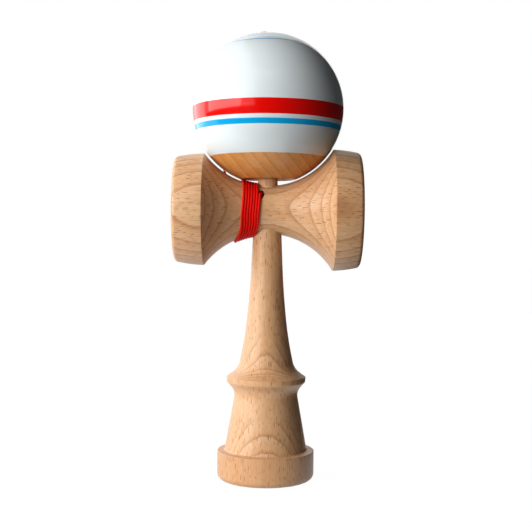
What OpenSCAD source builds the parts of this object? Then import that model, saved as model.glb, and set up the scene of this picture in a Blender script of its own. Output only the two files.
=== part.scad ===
// Cup and ball toy: a turned handle with a spike and a base cup, a double cup on a taper,
// and a bored ball that sits on the spike, tied on by a string wound round the small cup's arm.
// Millimetres, +Z up along the handle, origin at the middle of the foot, big cup towards +X.

/* [Ball] */
// Diameter of the ball
tama_d = 60; // [56:0.5:66]
// Diameter of the spike hole
spike_hole_d = 17.6; // [15:0.1:20]
// Width of the bevel round the mouth of the spike hole
hole_bevel = 2.1; // [0.8:0.1:2.6]
// Wood left between the drill point of the spike hole and the crown of the ball
crown_wall = 11; // [8:0.5:15]
// Full angle of the drill point that ends the spike hole
drill_point = 118; // [90:1:140]
// Diameter of the string hole in the crown
string_hole_d = 3.4; // [2.6:0.1:4.5]
// Width of the countersink round the string hole
string_mouth = 1.7; // [0.8:0.1:2.5]

/* [Paint] */
// Height of the red band's upper edge above the middle of the ball
red_top = 0.35; // [-4:0.05:4]
// Width of the red band
red_w = 5.8; // [3:0.1:9]
// White left between the two bands
band_gap = 1.5; // [0.5:0.1:4]
// Width of the blue band
blue_w = 2.05; // [1:0.05:5]
// Depth below the middle of the ball where the paint stops and bare wood begins
paint_depth = 19.15; // [16:0.05:24]

/* [Double cup] */
// Thickness of the arms at the waist
waist_d = 19.1; // [16:0.1:24]
// Distance from the handle's axis to either cup's rim
cup_reach = 36.75; // [33:0.05:42]
// Largest diameter of the big cup
big_cup_d = 48.2; // [44:0.1:52]
// Radius of the hollow flare behind the big cup
big_flare_r = 30.6; // [28:0.1:34]
// Depth of the big cup's dish
big_dish_depth = 8.5; // [6:0.1:11]
// Largest diameter of the small cup
small_cup_d = 44.4; // [40:0.1:48]
// Radius of the hollow flare behind the small cup
small_flare_r = 31.3; // [29:0.1:36]
// Depth of the small cup's dish
small_dish_depth = 7.8; // [6:0.1:10]
// How much a cup's radius shrinks from its sharp inner edge to its rim
band_taper = 1.4; // [0.5:0.1:3]
// Radius of the slight crown along a cup's outer band
band_crown_r = 60; // [30:1:200]
// Rounding of the outer edge of a cup's rim
rim_round = 1.8; // [0.8:0.1:2.6]
// Width of a cup's rim, from its outer edge to the dish
lip_w = 3.2; // [2.8:0.1:5]
// Small chamfer where a dish meets its rim
dish_ease = 0.5; // [0.2:0.1:1]

/* [Handle foot] */
// Diameter of the foot
base_d = 38.5; // [34:0.1:44]
// Height of the straight side of the foot
base_rim_h = 11.5; // [9:0.1:15]
// Rounding under the foot
base_round = 3.7; // [1.5:0.1:4.2]
// Diameter of the dish in the foot
base_dish_d = 28; // [24:0.2:29]
// Depth of the dish in the foot
base_dish_depth = 6.5; // [5:0.1:8.5]
// How much the ledge on top of the foot rises towards the stem
ledge_rise = 0.2; // [0:0.05:1]

/* [Handle stem] */
// Diameter of the stem where it stands on the ledge
foot_d = 32.7; // [28:0.1:34]
// Height of the cone from the ledge to the neck
cone_h = 23.4; // [18:0.1:28]
// Diameter of the neck under the collar
neck_d = 24.4; // [20:0.1:27]
// Height of the hollow between the neck and the collar's band
cove_h = 3.7; // [3:0.1:6]
// Diameter of the collar
collar_d = 31.6; // [29:0.1:35]
// Height of the collar's band
collar_band_h = 1.9; // [1.4:0.1:4]
// How far the collar's band draws in at its lower edge
collar_draw = 0.2; // [0.1:0.1:1]
// Height of the bell above the collar
bell_h = 3.4; // [2.6:0.1:5]
// Diameter at the top of the bell
bell_d = 22.3; // [18:0.1:24]
// Height of the grip's lower stretch above the bell
grip_low_h = 12.7; // [10:0.1:16]
// Diameter of the grip at the top of its lower stretch
grip_low_d = 17.1; // [15:0.1:18.5]
// Height of the grip's upper stretch
grip_high_h = 18.7; // [14:0.1:21]
// Diameter of the grip at the top of its upper stretch
grip_high_d = 13.2; // [12.4:0.1:14.6]
// Height of the double cup's axis above the upper grip
cross_h = 31.8; // [24:0.1:40]
// Diameter of the handle's taper at the underside of the double cup
seat_low_d = 11.3; // [10.4:0.1:12]
// Diameter of the handle's taper at the top of the double cup
seat_high_d = 8.2; // [7.4:0.1:9]
// Height of the spike's swell above the double cup
spike_swell_h = 21; // [16:0.5:26]
// Diameter of the spike at its swell
spike_swell_d = 6.2; // [5.4:0.1:7]
// Diameter of the spike at its blunt tip
spike_tip_d = 3.6; // [3:0.1:4.6]

/* [Handle roundings] */
// Easing of the sharp edges of the foot and the collar
arris_round = 0.3; // [0.1:0.1:0.6]
// Hollow where the stem stands on the ledge
foot_round = 0.8; // [0.4:0.1:1.6]
// Hollow at the neck
neck_round = 5.3; // [1:0.1:7]
// Rounding under the collar's band
collar_round = 0.8; // [0.4:0.1:1.6]
// Hollow at the top of the bell
bell_round = 7; // [2:0.1:9]
// Sweep of the grip at its lower stretch
grip_low_round = 150; // [60:5:240]
// Sweep of the grip at its upper stretch
grip_high_round = 400; // [200:10:600]
// Sweep of the spike at its swell
swell_round = 60; // [30:5:120]
// Rounding of the spike's tip
tip_round = 1.6; // [1:0.1:1.8]

/* [String] */
// Thickness of the string
string_d = 1.02; // [0.9:0.01:1.1]
// Turns that show side by side on the arm
arm_turns = 6; // [3:1:7]
// Clear gap drawn between one turn and the next
turn_gap = 0.44; // [0.42:0.01:0.5]
// Slack in the step from one turn to the next
turn_slack = 0.02; // [0:0.01:0.1]
// How far the turns swing towards the handle in front and away behind
turn_swing = 1.6; // [0:0.1:2]
// Angle on the arm, up from the front, where the string leaves its hole
hole_up = 37; // [28:1:44]
// Diameter of the string hole through the double cup and into the handle
cross_hole_d = 2.4; // [2:0.1:2.8]
// Width of the countersink where the string leaves the double cup
cross_mouth = 1; // [0.6:0.1:1.3]
// Diameter of an end knot
knot_d = 3.2; // [2.8:0.1:3.4]
// Length of an end knot
knot_l = 2.6; // [2:0.1:2.8]
// Diameter of the bead in the ball
bead_d = 8; // [7:0.1:10]
// Length of the bead between its flat ends
bead_l = 7.2; // [6:0.1:7.6]
// Diameter of the hole in the bead
bead_hole_d = 2.2; // [1.6:0.1:2.6]

/* [Clearances] */
// Gap between the ball and the flares that it sits in
ball_gap = 0.45; // [0.3:0.01:0.6]
// Radial gap of the double cup on its taper
taper_gap = 0.05; // [0.02:0.01:0.1]
// Gap between the bead and the drill point that it seats in
bead_gap = 0.3; // [0.2:0.05:0.5]
// Gap between an end knot and what it pulls against
knot_gap = 0.1; // [0.05:0.05:0.3]
// Gap between the tip of the spike and the knot above it
tip_gap = 3; // [1.5:0.1:5]
// Gap round the knot in its pocket in the handle
pocket_gap = 0.4; // [0.2:0.1:0.5]
// Gap between the string and the handle that it passes
wind_gap = 0.15; // [0.1:0.05:0.3]

/* [Hidden] */
$fn = 96;

// Colours as seen on the toy
beech = "#D9B48A";
ball_wood = "#C08A4E";
paint_white = "#F4F4F1";
paint_red = "#DE1012";
paint_blue = "#19A2D8";
string_red = "#C01812";
bead_white = "#EDE8DC";

// Steps round a corner, steps between two route points of the string, and angle between a turn's rings
corner_steps = 8;
route_steps = 2;
ring_angle = 15;
// How far a cut runs past the face that it opens
overrun = 1;

// Radii and heights along the handle
tama_r = tama_d / 2;
waist_r = waist_d / 2;
seat_low_r = seat_low_d / 2;
seat_high_r = seat_high_d / 2;
foot_z = base_rim_h + ledge_rise;
neck_z = foot_z + cone_h;
band_z = neck_z + cove_h;
collar_z = band_z + collar_band_h;
bell_z = collar_z + bell_h;
grip_low_z = bell_z + grip_low_h;
grip_high_z = grip_low_z + grip_high_h;
cross_z = grip_high_z + cross_h;
seat_slope = (seat_low_r - seat_high_r) / waist_d;

// Radius of the taper at a height above the double cup's axis
function seat_r(h) = (seat_low_r + seat_high_r) / 2 - seat_slope * h;

// Profile of the arms: a hollow flare on each side of the waist
function flare_radius(x) = x < 0 ? small_flare_r : big_flare_r;
function arm_r(x) = waist_r + flare_radius(x) - sqrt(flare_radius(x) ^ 2 - x ^ 2);
function edge_x(cup_d, flare_r) = sqrt(flare_r ^ 2 - (waist_r + flare_r - cup_d / 2) ^ 2);
big_edge_x = edge_x(big_cup_d, big_flare_r);
small_edge_x = edge_x(small_cup_d, small_flare_r);

// The ball sits as low between the flares as its gap lets it
hole_r = spike_hole_d / 2;
mouth_r = hole_r + hole_bevel;
seat_ball_r = tama_r + ball_gap;
function ball_over(x) = arm_r(x) + sqrt(seat_ball_r ^ 2 - x ^ 2);
tama_h = max([for (x = [-small_edge_x, -mouth_r, mouth_r, big_edge_x]) ball_over(x)]);
tama_z = cross_z + tama_h;

// Bead and knot under the drill point, then the tip of the spike below them
point_z = tama_z + tama_r - crown_wall;
bead_z = point_z - (bead_d / 2 + bead_gap) / sin(drill_point / 2);
bead_knot_z = bead_z - bead_l / 2 - knot_gap - knot_l;
tip_z = bead_knot_z - tip_gap;

// Turns of the string: clear of the spike above the arm and of the handle below it
string_r = string_d / 2;
turn_pitch = string_d + turn_slack;
winding_d = string_d - turn_gap;
turn_tilt = (seat_low_r - seat_high_r + turn_pitch / 2) / 2;
top_x = -(seat_high_r + string_r + wind_gap);
// The last turn ends at the back of the arm, heading straight up
last_a = 180 + 360 * arm_turns;
function turn_x(a) = top_x - turn_tilt - turn_pitch * (a - 270) / 360 + turn_swing * cos(a)
                     - turn_tilt * sin(a);
function turn_r(x) = arm_r(x) + string_r / cos(asin(x / flare_radius(x)));
function turn_point(a) = let (x = turn_x(a), r = turn_r(x)) [x, -r * cos(a), cross_z - r * sin(a)];

// The string hole runs straight out from the handle's axis to the first turn
hole_point = turn_point(-hole_up);
hole_z = hole_point.z;
hole_reach = norm([hole_point.x, hole_point.y]);
hole_dir = [hole_point.x, hole_point.y, 0] / hole_reach;
hole_turn = atan2(hole_dir.y, hole_dir.x);
function hole_axis(s) = hole_dir * s + [0, 0, hole_z];
pocket_d = knot_d + 2 * pocket_gap;
// Floor of the knot's pocket and end of the string's tail, along the hole from the handle's axis
pocket_s = -0.4;
tail_s = pocket_s - knot_gap;
// Where the string starts to bend inside the hole, and the angle on the arm where it lies flat
bend_in = 1.4;
bend_out = 9;

// Route of the string from the arm up behind the ball to its crown: x, y and height over the ball's middle
rise_route = [
    [-13.8, 13.4, -38.0], [-14.6, 14.4, -35.0], [-16.2, 16.0, -30.0], [-18.1, 17.7, -23.0],
    [-19.8, 19.2, -16.0], [-21.2, 20.6, -9.4], [-22.1, 21.3, -4.2], [-22.2, 21.5, 1.0],
    [-21.8, 21.0, 6.2], [-20.7, 20.0, 11.3], [-19.1, 18.5, 15.9], [-16.8, 16.3, 20.2],
    [-14.2, 13.8, 23.7], [-11.2, 10.8, 26.7], [-8.2, 7.9, 28.8], [-5.2, 5.0, 30.2], [-3.2, 3.1, 30.7]
];
// Route of the string from the crown down inside the ball, over the ball's middle
neck_route = [
    [-1.7, 1.7, 30.7], [-0.9, 0.8, 30.3], [-0.2, 0.2, 29.4], [0, 0, 28.2], [0, 0, 25.0],
    [0, 0, 21.0], [0, 0, 17.0], [0, 0, 13.5]
];
// Sides of the tubes, and directions that their rings are turned from
winding_sides = 6;
free_sides = 8;
winding_side = [1, 0, 0];
free_side = [0.7, 0.7, 0];

// Corner of an outline, rounded by r as far as its two edges allow
function unit(v) = v / norm(v);
function corner(a, b, c, r) =
    let (u = unit(a - b), v = unit(c - b), half = acos(u * v) / 2,
         run = min(r / tan(half), norm(a - b) / 2, norm(c - b) / 2),
         fit = run * tan(half),
         middle = b + unit(u + v) * fit / sin(half),
         from = b + u * run - middle,
         to = b + v * run - middle,
         start = atan2(from.y, from.x),
         swing = atan2(from.x * to.y - from.y * to.x, from * to))
    [for (k = [0:corner_steps]) let (t = start + swing * k / corner_steps) middle + fit * [cos(t), sin(t)]];
function flat(row) = [row[0], row[1]];
// Closed outline from rows of radius, height and rounding
function outline(rows) =
    let (n = len(rows))
    [for (i = [0:n - 1])
        let (a = flat(rows[(i + n - 1) % n]), b = flat(rows[i]), c = flat(rows[(i + 1) % n]))
        each (rows[i][2] > 0 ? corner(a, b, c, rows[i][2]) : [b])];

// Smooth path through route points
function between(a, b, c, d, t) =
    0.5 * (2 * b + (c - a) * t + (2 * a - 5 * b + 4 * c - d) * t ^ 2 + (3 * b - a - 3 * c + d) * t ^ 3);
function smooth(p) =
    let (n = len(p))
    concat([for (i = [0:n - 2], k = [0:route_steps - 1])
        between(p[max(i - 1, 0)], p[i], p[i + 1], p[min(i + 2, n - 1)], k / route_steps)], [p[n - 1]]);
function bend(a, b, c, t) = (1 - t) ^ 2 * a + 2 * t * (1 - t) * b + t ^ 2 * c;

// Path of the whole string: tail in the handle, bend out of its hole, turns, then the free stretch
tail_path = [for (k = [0:3]) hole_axis(tail_s + (hole_reach - bend_in - tail_s) * k / 4)];
bend_path = [for (k = [0:4])
    bend(hole_axis(hole_reach - bend_in), hole_point, turn_point(bend_out - hole_up), k / 4)];
turn_path = [for (a = [bend_out - hole_up + ring_angle:ring_angle:last_a - 1]) turn_point(a)];
leave_path = [turn_point(last_a), turn_point(last_a) + [0, 0, string_d]];
winding_path = concat(tail_path, bend_path, turn_path, leave_path);
neck_low = [0, 0, bead_knot_z + knot_l];
over_ball = [for (p = concat(rise_route, neck_route)) p + [0, 0, tama_z]];
free_path = smooth(concat([leave_path[1]], over_ball, [neck_low]));
string_path = concat(winding_path, [for (i = [1:len(free_path) - 1]) free_path[i]]);
winding_end = len(winding_path) - 1;
rise_end = winding_end + len(rise_route) * route_steps;
neck_end = len(string_path) - 1;

// Closed tube along the string from one ring of its path to another, of triangles
module string_tube(start, end, d, sides, side) {
    rings = [for (i = [start:end])
        let (t = unit(string_path[min(i + 1, neck_end)] - string_path[max(i - 1, 0)]),
             u = unit(cross(side, t)), v = cross(t, u))
        each [for (k = [0:sides - 1])
            string_path[i] + d / 2 * (u * cos(360 * k / sides) + v * sin(360 * k / sides))]];
    n = end - start;
    skin = [for (i = [0:n - 1], k = [0:sides - 1])
        let (a = i * sides + k, b = i * sides + (k + 1) % sides)
        each [[a, a + sides, b], [b, a + sides, b + sides]]];
    first = [for (k = [1:sides - 2]) [0, k, k + 1]];
    last = [for (k = [1:sides - 2]) [n * sides, n * sides + k + 1, n * sides + k]];
    polyhedron(points = rings, faces = concat(skin, first, last), convexity = 10);
}

// Least clear gap from each turn to the turns beside it
turn_rings = 360 / ring_angle;
turn_count = len(turn_path);
self_gap = min([for (i = [0:turn_count - 1], j = [i + turn_rings / 2:turn_count - 1])
    norm(turn_path[i] - turn_path[j])]) - winding_d;
echo("string_winding least gap to itself", self_gap);

// Dish that a cup or the foot is hollowed by, mouth at the origin and opening along +Z
module dish(d, depth) {
    dish_r = ((d / 2) ^ 2 + depth ^ 2) / (2 * depth);
    translate([0, 0, dish_r - depth]) sphere(dish_r);
    translate([0, 0, -dish_ease]) cylinder(h = 2 * dish_ease, r1 = d / 2 - dish_ease, r2 = d / 2 + dish_ease);
}

// Half outline of one cup: flare, sharp inner edge, crowned band and rounded rim
module cup_outline(cup_d, flare_r, edge) {
    cup_r = cup_d / 2;
    rim_r = cup_r - band_taper;
    band = [rim_r, cup_reach] - [cup_r, edge];
    crown_off = sqrt(band_crown_r ^ 2 - (norm(band) / 2) ^ 2);
    crown_at = [cup_r, edge] + band / 2 - unit([band.y, -band.x]) * crown_off;
    rim_lean = atan2(-band.x, band.y) + asin(norm(band) / 2 / band_crown_r);
    difference() {
        polygon([[0, 0], [waist_r + flare_r, 0], [cup_r, edge], [0, edge]]);
        translate([waist_r + flare_r, 0]) circle(flare_r);
    }
    intersection() {
        translate(crown_at) circle(band_crown_r);
        polygon(outline([[0, edge, 0], [rim_r + band.y * tan(rim_lean), edge, 0],
                         [rim_r, cup_reach, rim_round], [0, cup_reach, 0]]));
    }
}

// Handle with the foot, the collar, the taper and the spike, turned in one piece
module ken() {
    low_h = waist_r + overrun;
    swell_z = cross_z + waist_r + spike_swell_h;
    profile = [
        [0, 0, 0],
        [base_d / 2, 0, base_round],
        [base_d / 2, base_rim_h, arris_round],
        [foot_d / 2, foot_z, foot_round],
        [neck_d / 2, neck_z, neck_round],
        [collar_d / 2 - collar_draw, band_z, collar_round],
        [collar_d / 2, collar_z, arris_round],
        [bell_d / 2, bell_z, bell_round],
        [grip_low_d / 2, grip_low_z, grip_low_round],
        [grip_high_d / 2, grip_high_z, grip_high_round],
        [seat_r(-low_h), cross_z - low_h, 0],
        [seat_r(low_h), cross_z + low_h, 0],
        [spike_swell_d / 2, swell_z, swell_round],
        [spike_tip_d / 2, tip_z, tip_round],
        [0, tip_z, 0]
    ];
    color(beech) difference() {
        rotate_extrude() polygon(outline(profile));
        rotate([180, 0, 0]) dish(base_dish_d, base_dish_depth);
        translate([0, 0, hole_z]) rotate([0, 90, hole_turn]) {
            translate([0, 0, pocket_s]) cylinder(h = seat_low_d, d = cross_hole_d);
            translate([0, 0, pocket_s - seat_low_d]) cylinder(h = seat_low_d, d = pocket_d);
        }
    }
}

// Double cup, bored for the taper and drilled for the string
module sarado() {
    bore_h = waist_r + overrun;
    color(beech) translate([0, 0, cross_z]) difference() {
        rotate([0, 90, 0]) rotate_extrude() {
            cup_outline(big_cup_d, big_flare_r, big_edge_x);
            mirror([0, 1]) cup_outline(small_cup_d, small_flare_r, small_edge_x);
        }
        translate([0, 0, -bore_h])
            cylinder(h = 2 * bore_h, r1 = seat_r(-bore_h) + taper_gap, r2 = seat_r(bore_h) + taper_gap);
        translate([cup_reach, 0, 0]) rotate([0, 90, 0]) dish(big_cup_d - 2 * (band_taper + lip_w), big_dish_depth);
        translate([-cup_reach, 0, 0]) rotate([0, -90, 0])
            dish(small_cup_d - 2 * (band_taper + lip_w), small_dish_depth);
        translate([0, 0, hole_z - cross_z]) rotate([0, 90, hole_turn]) {
            cylinder(h = hole_reach + overrun, d = cross_hole_d);
            translate([0, 0, hole_reach - string_r - cross_mouth])
                cylinder(h = 2 * cross_mouth, r1 = cross_hole_d / 2, r2 = cross_hole_d / 2 + 2 * cross_mouth);
        }
    }
}

// Outline of the ball's wood beside its axis
module tama_outline() {
    mouth_z = -sqrt(tama_r ^ 2 - mouth_r ^ 2);
    cone_z = point_z - tama_z;
    per_z = tan(drill_point / 2);
    string_hole_r = string_hole_d / 2;
    crown_r = string_hole_r + string_mouth;
    crown_mouth_z = sqrt(tama_r ^ 2 - crown_r ^ 2);
    difference() {
        intersection() {
            circle(tama_r);
            translate([0, -tama_r]) square([tama_r, tama_d]);
        }
        polygon([
            [0, -tama_r - overrun], [mouth_r + overrun, mouth_z - overrun], [hole_r, mouth_z + hole_bevel],
            [hole_r, cone_z - hole_r / per_z], [string_hole_r, cone_z - string_hole_r / per_z],
            [string_hole_r, crown_mouth_z - string_mouth], [crown_r + overrun, crown_mouth_z + overrun],
            [0, tama_r + 2 * overrun]
        ]);
    }
}

// One painted zone of the ball, between two heights over its middle
module tama_zone(low, high, paint) {
    color(paint) translate([0, 0, tama_z]) rotate_extrude() intersection() {
        tama_outline();
        translate([0, low]) square([tama_d, high - low]);
    }
}

// Ball with bare wood round the spike hole, then white, blue, white, red and white paint
module tama() {
    red_low = red_top - red_w;
    blue_top = red_low - band_gap;
    blue_low = blue_top - blue_w;
    tama_zone(-tama_d, -paint_depth, ball_wood);
    tama_zone(-paint_depth, blue_low, paint_white);
    tama_zone(blue_low, blue_top, paint_blue);
    tama_zone(blue_top, red_low, paint_white);
    tama_zone(red_low, red_top, paint_red);
    tama_zone(red_top, tama_d, paint_white);
}

// Bead that the string pulls up into the drill point
module string_bead() {
    color(bead_white) translate([0, 0, bead_z]) rotate_extrude() intersection() {
        circle(d = bead_d);
        translate([bead_hole_d / 2, -bead_l / 2]) square([bead_d, bead_l]);
    }
}

// End knot, flat where the string enters it
module knot() {
    rotate_extrude()
        polygon(outline([[0, 0, 0], [knot_d / 2, 0, knot_l / 2], [knot_d / 2, knot_l, knot_l / 2], [0, knot_l, 0]]));
}

// Knot under the bead
module bead_knot() {
    color(string_red) translate([0, 0, bead_knot_z]) knot();
}

// Knot in the pocket behind the handle's string hole
module ken_knot() {
    color(string_red) translate(hole_axis(tail_s - knot_l)) rotate([0, 90, hole_turn]) knot();
}

// String out of the handle and round the small cup's arm
module string_winding() {
    color(string_red) string_tube(0, winding_end, winding_d, winding_sides, winding_side);
}

// String from the arm up behind the ball to its crown
module string_rise() {
    color(string_red) string_tube(winding_end, rise_end, string_d, free_sides, free_side);
}

// String from the crown down through the ball to the bead's knot
module string_neck() {
    color(string_red) string_tube(rise_end, neck_end, string_d, free_sides, free_side);
}

ken();
sarado();
tama();
string_bead();
bead_knot();
ken_knot();
string_winding();
string_rise();
string_neck();
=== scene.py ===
"""Looks of a turned cup and ball toy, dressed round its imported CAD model.

The handle, the double cup and the ball are turned again as smooth lathe meshes, the string is laid as one
braided cord, and every surface gets a procedural finish. Lengths are millimetres in the pieces and their
finishes, and metres in the studio.
"""

import logging
import math
from dataclasses import dataclass
from enum import Enum
from typing import Any, Sequence, Union

import bpy
from mathutils import Euler, Matrix, Vector


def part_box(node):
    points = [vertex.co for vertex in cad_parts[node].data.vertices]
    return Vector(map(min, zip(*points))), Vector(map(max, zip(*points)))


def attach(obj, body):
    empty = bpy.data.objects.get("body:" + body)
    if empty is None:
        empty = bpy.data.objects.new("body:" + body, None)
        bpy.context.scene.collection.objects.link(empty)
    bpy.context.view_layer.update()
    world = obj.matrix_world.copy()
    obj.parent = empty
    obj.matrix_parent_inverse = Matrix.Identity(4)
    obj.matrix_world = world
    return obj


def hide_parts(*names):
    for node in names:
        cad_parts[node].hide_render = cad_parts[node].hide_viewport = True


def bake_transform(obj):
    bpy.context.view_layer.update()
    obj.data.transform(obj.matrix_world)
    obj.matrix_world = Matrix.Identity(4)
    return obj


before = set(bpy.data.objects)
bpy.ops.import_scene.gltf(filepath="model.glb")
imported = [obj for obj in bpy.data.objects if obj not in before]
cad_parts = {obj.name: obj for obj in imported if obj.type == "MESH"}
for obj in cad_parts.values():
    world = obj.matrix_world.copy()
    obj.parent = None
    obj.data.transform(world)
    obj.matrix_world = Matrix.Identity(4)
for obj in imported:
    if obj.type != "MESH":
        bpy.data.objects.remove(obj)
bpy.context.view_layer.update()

LOG = logging.getLogger("cup_and_ball")
MM = 0.001
LONGEST_RUN = 1.1
CORNER_STEP = math.radians(9.0)
STRAIGHT = math.pi / 2 - 1e-4
SHARP_ANGLE = math.radians(40.0)
WELD_GAP = 0.000001
Piece = bpy.types.Object
Material = bpy.types.Material
Colour = tuple[float, float, float, float]
Triple = tuple[float, float, float]
Span = tuple[float, float]
Row = tuple[float, float, float]
Sheet = tuple[str, Triple, Triple]


def shade(red: float, green: float, blue: float) -> Colour:
    """Give a linear colour its full alpha."""
    return (red, green, blue, 1.0)


def grey(level: float) -> Colour:
    """Give a linear grey with full alpha."""
    return shade(level, level, level)


class GrainRun(Enum):
    """Turn that brings a piece's grain to the Z axis of its wood pattern."""

    UPRIGHT = (0.0, 0.0, 0.0)
    ACROSS = (0.0, math.pi / 2, 0.0)
    SLANTED = (0.0, math.radians(40.0), math.pi / 2)


@dataclass(frozen=True)
class Noise:
    """Noise with its waves per metre along each axis, its octaves and an offset."""

    scale: Triple
    detail: float
    shift: float = 0.0


WARP = Noise((45.0, 60.0, 14.0), 1.0)
RIPPLE = Noise((420.0, 260.0, 40.0), 2.0, 3.1)
TONE = Noise((900.0, 700.0, 22.0), 3.0, 7.7)
FIBRE = Noise((3600.0, 3000.0, 110.0), 3.0, 1.3)
WANDER = Noise((300.0, 300.0, 120.0), 1.0, 9.2)
BRUSH = Noise((160.0, 160.0, 160.0), 2.0, 2.2)
PEEL = Noise((700.0, 700.0, 700.0), 1.0, 5.5)
FUZZ = Noise((6000.0, 6000.0, 6000.0), 1.0)
BEAD_FIBRE = Noise((2500.0, 2500.0, 200.0), 2.0)


class Wire:
    """One output socket, with arithmetic that adds Math nodes to its tree."""

    def __init__(self, graph: "Graph", socket: bpy.types.NodeSocket) -> None:
        """Keep an output socket and the graph that it belongs to."""
        self.graph = graph
        self.socket = socket

    def out(self, name: Union[str, int]) -> "Wire":
        """Pick another output of the same node, by its name or place."""
        return Wire(self.graph, self.socket.node.outputs[name])

    def math(self, operation: str, first: Any, second: Any = None) -> "Wire":
        """Add a Math node with one or two values or wires."""
        inputs = {0: first} if second is None else {0: first, 1: second}
        return self.graph.node("ShaderNodeMath", {"operation": operation}, inputs)

    def __add__(self, other: Any) -> "Wire":
        """Add the other value."""
        return self.math("ADD", self, other)

    def __sub__(self, other: Any) -> "Wire":
        """Take the other value away."""
        return self.math("SUBTRACT", self, other)

    def __rsub__(self, other: Any) -> "Wire":
        """Take this away from the other value."""
        return self.math("SUBTRACT", other, self)

    def __mul__(self, other: Any) -> "Wire":
        """Multiply by the other value."""
        return self.math("MULTIPLY", self, other)

    def __truediv__(self, other: Any) -> "Wire":
        """Divide by the other value."""
        return self.math("DIVIDE", self, other)

    def __rtruediv__(self, other: Any) -> "Wire":
        """Divide the other value by this."""
        return self.math("DIVIDE", other, self)

    __radd__ = __add__
    __rmul__ = __mul__

    def root(self) -> "Wire":
        """Square root."""
        return self.math("POWER", self, 0.5)

    def fract(self) -> "Wire":
        """Keep the part after the point."""
        return self.math("FRACT", self)

    def floor(self) -> "Wire":
        """Round down."""
        return self.math("FLOOR", self)

    def size(self) -> "Wire":
        """Drop the sign."""
        return self.math("ABSOLUTE", self)

    def sin(self) -> "Wire":
        """Sine."""
        return self.math("SINE", self)

    def cos(self) -> "Wire":
        """Cosine."""
        return self.math("COSINE", self)

    def most(self, other: Any) -> "Wire":
        """Larger of two values."""
        return self.math("MAXIMUM", self, other)

    def least(self, other: Any) -> "Wire":
        """Smaller of two values."""
        return self.math("MINIMUM", self, other)

    def step(self, low: float, high: float, start: float = 0.0, end: float = 1.0) -> "Wire":
        """Go smoothly from the start value at low to the end value at high."""
        inputs = {0: self, 1: low, 2: high, 3: start, 4: end}
        return self.graph.node("ShaderNodeMapRange", {"interpolation_type": "SMOOTHSTEP"}, inputs)

    def rise(self, edge: float, blur: float) -> "Wire":
        """Go from 0 to 1 across an edge that is blurred on both sides."""
        return self.step(edge - blur, edge + blur)

    def fall(self, edge: float, blur: float) -> "Wire":
        """Go from 1 to 0 across an edge that is blurred on both sides."""
        return self.step(edge - blur, edge + blur, 1.0, 0.0)


class Graph:
    """A node tree that nodes are added to by type, settings and sockets."""

    def __init__(self, tree: bpy.types.NodeTree, owner: Any = None) -> None:
        """Keep the tree to add to, and the material or world that owns it."""
        self.tree = tree
        self.owner = owner

    @classmethod
    def cleared(cls, owner: Union[Material, bpy.types.World]) -> "Graph":
        """Empty the tree of a material or world.

        Args:
            owner: Owner of the tree.

        Returns:
            Graph of the empty tree.
        """
        owner.use_nodes = True
        owner.node_tree.nodes.clear()
        return cls(owner.node_tree, owner)

    def node(
        self,
        kind: str,
        settings: dict[str, Any] | None = None,
        inputs: dict[Union[str, int], Any] | None = None,
        output: Union[str, int] = 0,
    ) -> Wire:
        """Add one node.

        Args:
            kind: Node type.
            settings: Properties, and the captures of a Capture Attribute node, which are set first.
            inputs: Values or wires of its sockets.
            output: Output that is returned.

        Returns:
            The chosen output.
        """
        made = self.tree.nodes.new(kind)
        for name, value in (settings or {}).items():
            if name == "captures":
                for socket_type, label in value:
                    made.capture_items.new(socket_type, label)
            else:
                setattr(made, name, value)
        for key, value in (inputs or {}).items():
            if isinstance(value, Wire):
                self.tree.links.new(value.socket, made.inputs[key])
            else:
                made.inputs[key].default_value = value
        if not len(made.outputs):
            return Wire(self, made.inputs[0])
        return Wire(self, made.outputs[output])

    def coords(self) -> Wire:
        """Give the Object coordinates, in metres."""
        return self.node("ShaderNodeTexCoord", None, None, "Object")

    def split(self, vector: Wire) -> tuple[Wire, Wire, Wire]:
        """Take a vector apart into its X, Y and Z."""
        parts = self.node("ShaderNodeSeparateXYZ", None, {"Vector": vector})
        return parts, parts.out("Y"), parts.out("Z")

    def mix(self, factor: Any, first: Any, second: Any) -> Wire:
        """Mix two colours, by the share of the second one."""
        return self.node("ShaderNodeMix", {"data_type": "RGBA"}, {0: factor, 6: first, 7: second}, 2)

    def noise(self, place: Wire, kind: Noise) -> Wire:
        """Draw one of the noises.

        Args:
            place: Coordinates in metres.
            kind: Noise to draw.

        Returns:
            Noise about one half.
        """
        inputs = {"Vector": place, "Location": (kind.shift, kind.shift, kind.shift), "Scale": kind.scale}
        stretched = self.node("ShaderNodeMapping", None, inputs)
        inputs = {"Vector": stretched, "Scale": 1.0, "Detail": kind.detail}
        return self.node("ShaderNodeTexNoise", None, inputs)

    def bump(self, strength: float, depth: float, height: Wire) -> Wire:
        """Turn a height into a normal, with the depth in millimetres that a height of one has."""
        inputs = {"Strength": strength, "Distance": depth * MM, "Height": height}
        return self.node("ShaderNodeBump", None, inputs)


class Finish:
    """Base of the finishes: one named material with a Principled surface."""

    name: str

    def start(self) -> Graph:
        """Start the material with an empty tree."""
        return Graph.cleared(bpy.data.materials.new(self.name))

    def end(self, graph: Graph, inputs: dict[str, Any]) -> Material:
        """Close the material with its surface.

        Args:
            graph: Graph of the material.
            inputs: Sockets of the Principled node.

        Returns:
            The material.
        """
        surface = graph.node("ShaderNodeBsdfPrincipled", None, inputs)
        graph.node("ShaderNodeOutputMaterial", None, {"Surface": surface})
        return graph.owner


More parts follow.
